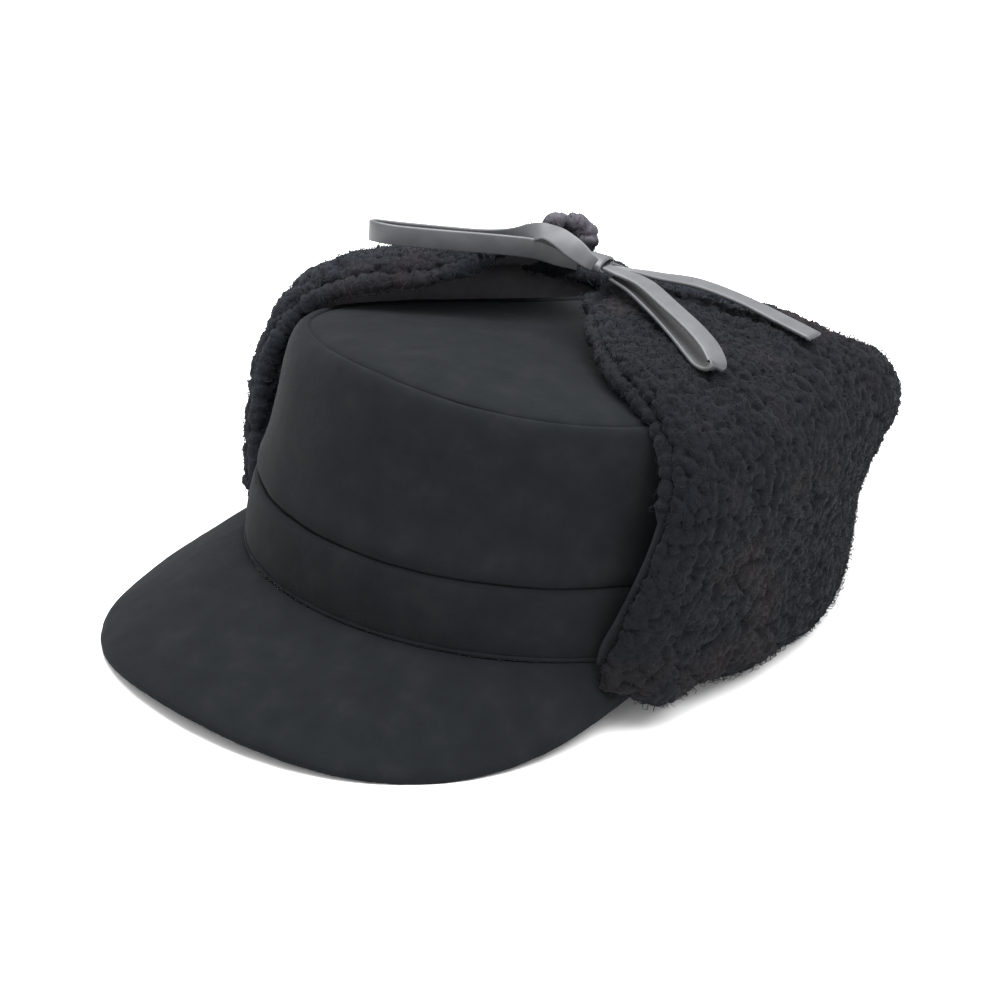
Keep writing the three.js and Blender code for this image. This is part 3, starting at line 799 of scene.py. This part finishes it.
def on_covered_rim(place):
    """Whether fuzz grows on this place of the wool sheet."""
    if fleece_surface.find_nearest(place)[3] < UNDER_FLEECE:
        return False
    return cover(place) > COVER_FUZZ


fuzz_roots = spread_points(fleece, FUZZ_SPACING, 11, clear_of_shell)
fuzz_roots += spread_points(flap_shell, FUZZ_SPACING, 12, on_covered_rim)


def half_of(piece, name, sign):
    """A copy of a piece with only its faces on one side of the cap's middle plane."""
    surface = bmesh.new()
    surface.from_mesh(piece.data)
    others = [face for face in surface.faces if sign * face.calc_center_median().x < 0]
    bmesh.ops.delete(surface, geom=others, context="FACES")
    mesh = bpy.data.meshes.new(name)
    surface.to_mesh(mesh)
    surface.free()
    mesh.materials.append(FLEECE)
    half = bpy.data.objects.new(name, mesh)
    bpy.context.scene.collection.objects.link(half)
    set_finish(half, "fleece")
    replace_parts(half, "flap_fleece")
    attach(half, "root")


half_of(fleece, "fleece_sheet_near", 1)
half_of(fleece, "fleece_sheet_far", -1)
bpy.data.objects.remove(fleece)

for side, sign, seed in (("near", 1, 21), ("far", -1, 22)):
    roots = [root for root in fuzz_roots if sign * root[0].x >= 0]
    fuzz = new_piece("fleece_fuzz_" + side, *fuzz_mesh(roots, seed), FUZZ, "fleece")
    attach(fuzz, "root")


def ribbon_section(width, thickness):
    """Corners of a flat strip's section with rounded edges, as (across, through) pairs."""
    w, t = width / 2, thickness / 2
    r = 0.45 * thickness
    corners = []
    for sign_w, sign_t, start in ((1, 1, 0), (-1, 1, 90), (-1, -1, 180), (1, -1, 270)):
        for step in (0, 30, 60, 90):
            angle = math.radians(start + step)
            corners.append((sign_w * (w - r) + r * math.cos(angle), sign_t * (t - r) + r * math.sin(angle)))
    return corners


def ribbon(name, rows, painted_shade_back=False):
    """A flat lace through rows of (point, width direction, width), in the drawing's millimetres."""
    points = [Vector(row[0]) for row in rows]
    turns = [Vector(row[1]) for row in rows]
    widths = [Vector((row[2], 0, 0)) for row in rows]
    count = (len(rows) - 1) * LACE_STEPS
    vertices = []
    faces = []
    for i in range(count + 1):
        share = i / count
        centre = catmull_rom(points, share)
        ahead = catmull_rom(points, min(share + 0.002, 1))
        behind = catmull_rom(points, max(share - 0.002, 0))
        tangent = (ahead - behind).normalized()
        wide = catmull_rom(turns, share)
        wide = (wide - tangent * wide.dot(tangent)).normalized()
        through = tangent.cross(wide)
        width = catmull_rom(widths, share).x
        for across, depth in ribbon_section(width, LACE_THICKNESS):
            vertices.append(DRAWING_ORIGIN + (centre + wide * across + through * depth) * MM)
    ring = len(ribbon_section(LACE_WIDTH, LACE_THICKNESS))
    for i in range(count):
        for k in range(ring):
            a, b = i * ring + k, i * ring + (k + 1) % ring
            faces.append((a, b, b + ring, a + ring))
    faces.append(tuple(reversed(range(ring))))
    faces.append(tuple(count * ring + k for k in range(ring)))
    piece = new_piece(name, vertices, faces, LEATHER, "lace")
    # Painted shade: the inner face of the side loop takes the darker leather.
    if painted_shade_back:
        piece.data.materials.append(PAINTED_SHADE_LEATHER)
        for i in range(count):
            piece.data.polygons[i * ring + ring // 2 + 3].material_index = 1
    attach(piece, "root")
    return piece


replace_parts(ribbon("lace_front", FRONT_LOOP), "lace_loop_front")
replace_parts(ribbon("lace_side", SIDE_LOOP, painted_shade_back=True), "lace_loop_side")
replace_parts(ribbon("lace_long_end", LONG_TAIL), "lace_tail_long")
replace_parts(ribbon("lace_short_end", SHORT_TAIL), "lace_tail_short")


def wrap_rows():
    """The lace's wrap round the crossing of the two loops."""
    rows = []
    for step in range(WRAP_STEPS + 1):
        angle = math.tau * step / WRAP_STEPS - math.pi / 2
        out = WRAP_ACROSS * (WRAP_REACH * math.cos(angle))
        at = WRAP_AT + out + Vector((0, 0, WRAP_HEIGHT * math.sin(angle)))
        rows.append((at, WRAP_ALONG, LACE_WIDTH))
    return rows


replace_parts(ribbon("lace_wrap", wrap_rows()), "lace_knot")


def add_floor():
    material, shader, _ = node_tree("pale_floor")
    shader.inputs["Base Color"].default_value = (0.9, 0.9, 0.9, 1)
    shader.inputs["Roughness"].default_value = 0.9
    shader.inputs["Specular IOR Level"].default_value = 0.1
    size = 4.0
    floor = new_piece(
        "floor", [(-size, -size, 0), (size, -size, 0), (size, size, 0), (-size, size, 0)],
        [(0, 1, 2, 3)], material, "wool", smooth=False,
    )
    del floor["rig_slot"]


def add_light(name, place, aim, size, power):
    data = bpy.data.lights.new(name, "AREA")
    data.shape = "SQUARE"
    data.size = size
    data.energy = power
    light = bpy.data.objects.new(name, data)
    light.location = place
    light.rotation_euler = (Vector(aim) - Vector(place)).to_track_quat("-Z", "Y").to_euler()
    bpy.context.scene.collection.objects.link(light)


def add_camera():
    azimuth, elevation = math.radians(CAMERA_AZIMUTH), math.radians(CAMERA_ELEVATION)
    back = Vector((
        math.sin(azimuth) * math.cos(elevation), -math.cos(azimuth) * math.cos(elevation), math.sin(elevation),
    ))
    data = bpy.data.cameras.new("camera")
    data.lens = CAMERA_LENS
    data.sensor_width = 36
    camera = bpy.data.objects.new("camera", data)
    camera.location = CAMERA_AIM + back * CAMERA_DISTANCE
    upright = (-back).to_track_quat("-Z", "Y").to_matrix()
    camera.rotation_euler = (upright @ Matrix.Rotation(math.radians(CAMERA_ROLL), 3, "Z")).to_euler()
    bpy.context.scene.collection.objects.link(camera)
    bpy.context.scene.camera = camera


def add_world():
    world = bpy.data.worlds.new("soft_white")
    world.use_nodes = True
    world.node_tree.nodes["Background"].inputs["Color"].default_value = (1, 1, 1, 1)
    world.node_tree.nodes["Background"].inputs["Strength"].default_value = 1.15
    bpy.context.scene.world = world


add_floor()
add_world()
add_light("softbox_top", (-0.4, 0.1, 1.3), (0, 0, 0.05), 1.1, 40)
add_light("softbox_over", (0.6, 0.1, 1.2), (0, 0, 0.08), 0.9, 21)
add_light("softbox_left", (-1.1, -0.5, 0.8), (0, 0, 0.05), 0.9, 0.5)
add_light("softbox_front", (0.7, -0.9, 0.45), (0, 0, 0.08), 0.9, 3)
add_camera()
bpy.context.scene.view_settings.view_transform = "Standard"
